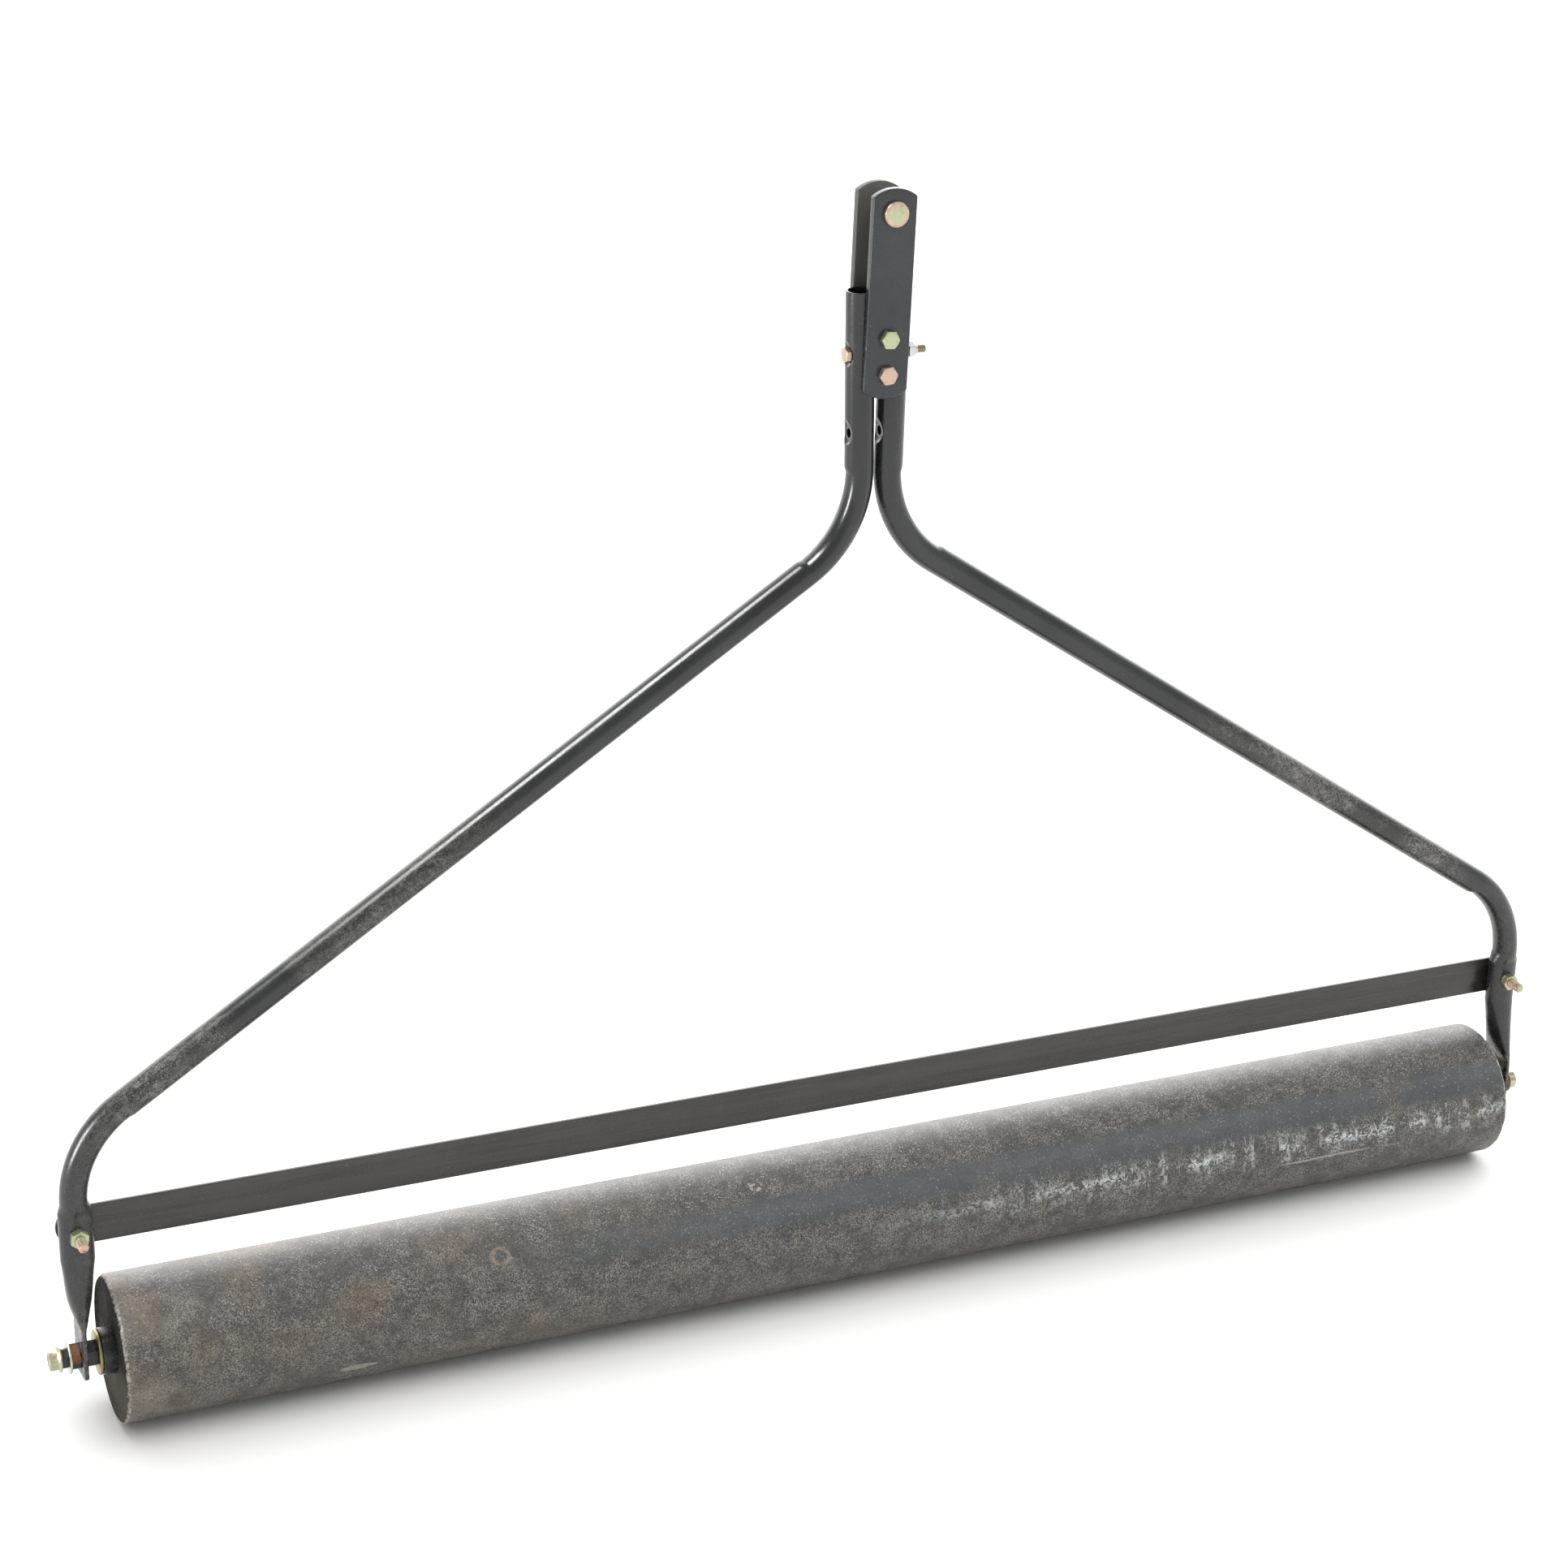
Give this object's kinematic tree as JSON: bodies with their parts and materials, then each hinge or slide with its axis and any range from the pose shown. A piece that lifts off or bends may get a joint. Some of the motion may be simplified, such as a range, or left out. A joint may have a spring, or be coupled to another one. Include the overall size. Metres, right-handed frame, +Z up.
{
  "type": "tow-behind lawn roller",
  "caption": "Tow-behind lawn roller: rubber-covered drum on a through axle, V-shaped bent-tube drawbar with a flat cross bar, and a strap clevis hitch with a pin.",
  "frame": {"origin": "on the floor under the middle of the axle, at the centre of the bounding box's base", "axes": "+X along the roller towards its right end seen from the front, -Y the front, where the hitch pin's head is, +Z up the drawbar frame"},
  "size_m": [1.315, 0.1142, 0.9043],
  "materials": {
    "frame_paint": "satin black paint, scuffed and dusty on the arms",
    "drum_rubber": "worn dark rubber with ground-in brown and grey grime",
    "yellow_zinc": "yellow zinc plating with a green to pink tint",
    "bare_steel": "dull unplated steel",
    "dark_steel": "dark painted steel, grimy",
    "rusty_steel": "steel with orange-brown surface rust",
    "bearing_bronze": "oiled sintered bronze"
  },
  "bodies": {
    "frame": {"left_arm_tube": "frame_paint", "right_arm_tube": "frame_paint", "cross_bar": "frame_paint", "cross_bar_bolts": "yellow_zinc", "cross_bar_nuts": "yellow_zinc", "front_hitch_strap": "frame_paint", "rear_hitch_strap": "frame_paint", "strap_bolts": "yellow_zinc", "strap_nuts": "yellow_zinc", "tube_cross_bolt": "yellow_zinc", "tube_cross_lock_nut": "yellow_zinc", "axle_rod": "bare_steel", "axle_flange_nuts": "yellow_zinc", "axle_thin_nut": "dark_steel", "axle_flat_washer": "yellow_zinc", "axle_heavy_nuts": "rusty_steel", "axle_inner_spacer": "dark_steel", "axle_inner_nuts": "dark_steel", "fender_washers": "yellow_zinc"},
    "roller": {"rubber_cover": "drum_rubber", "roller_pipe": "bare_steel", "left_end_plate": "dark_steel", "right_end_plate": "dark_steel", "left_hub_bushing": "bearing_bronze", "right_hub_bushing": "bearing_bronze"},
    "pin": {"hitch_pin": "yellow_zinc"},
    "clip": {"hairpin_clip": "yellow_zinc"}
  },
  "joints": [
    {"name": "roller_spin", "type": "hinge", "parent": "frame", "child": "roller", "pos_m": [0, 0, 0.05715], "axis": [1, 0, 0], "continuous": true},
    {"name": "pin_turn", "type": "hinge", "parent": "frame", "child": "pin", "pos_m": [0.00251, 0, 0.88582], "axis": [0, 1, 0], "continuous": true},
    {"name": "clip_pull", "type": "slide", "parent": "pin", "child": "clip", "axis": [-0.1045, 0, -0.9945], "range_m": [0, 0.03]}
  ]
}
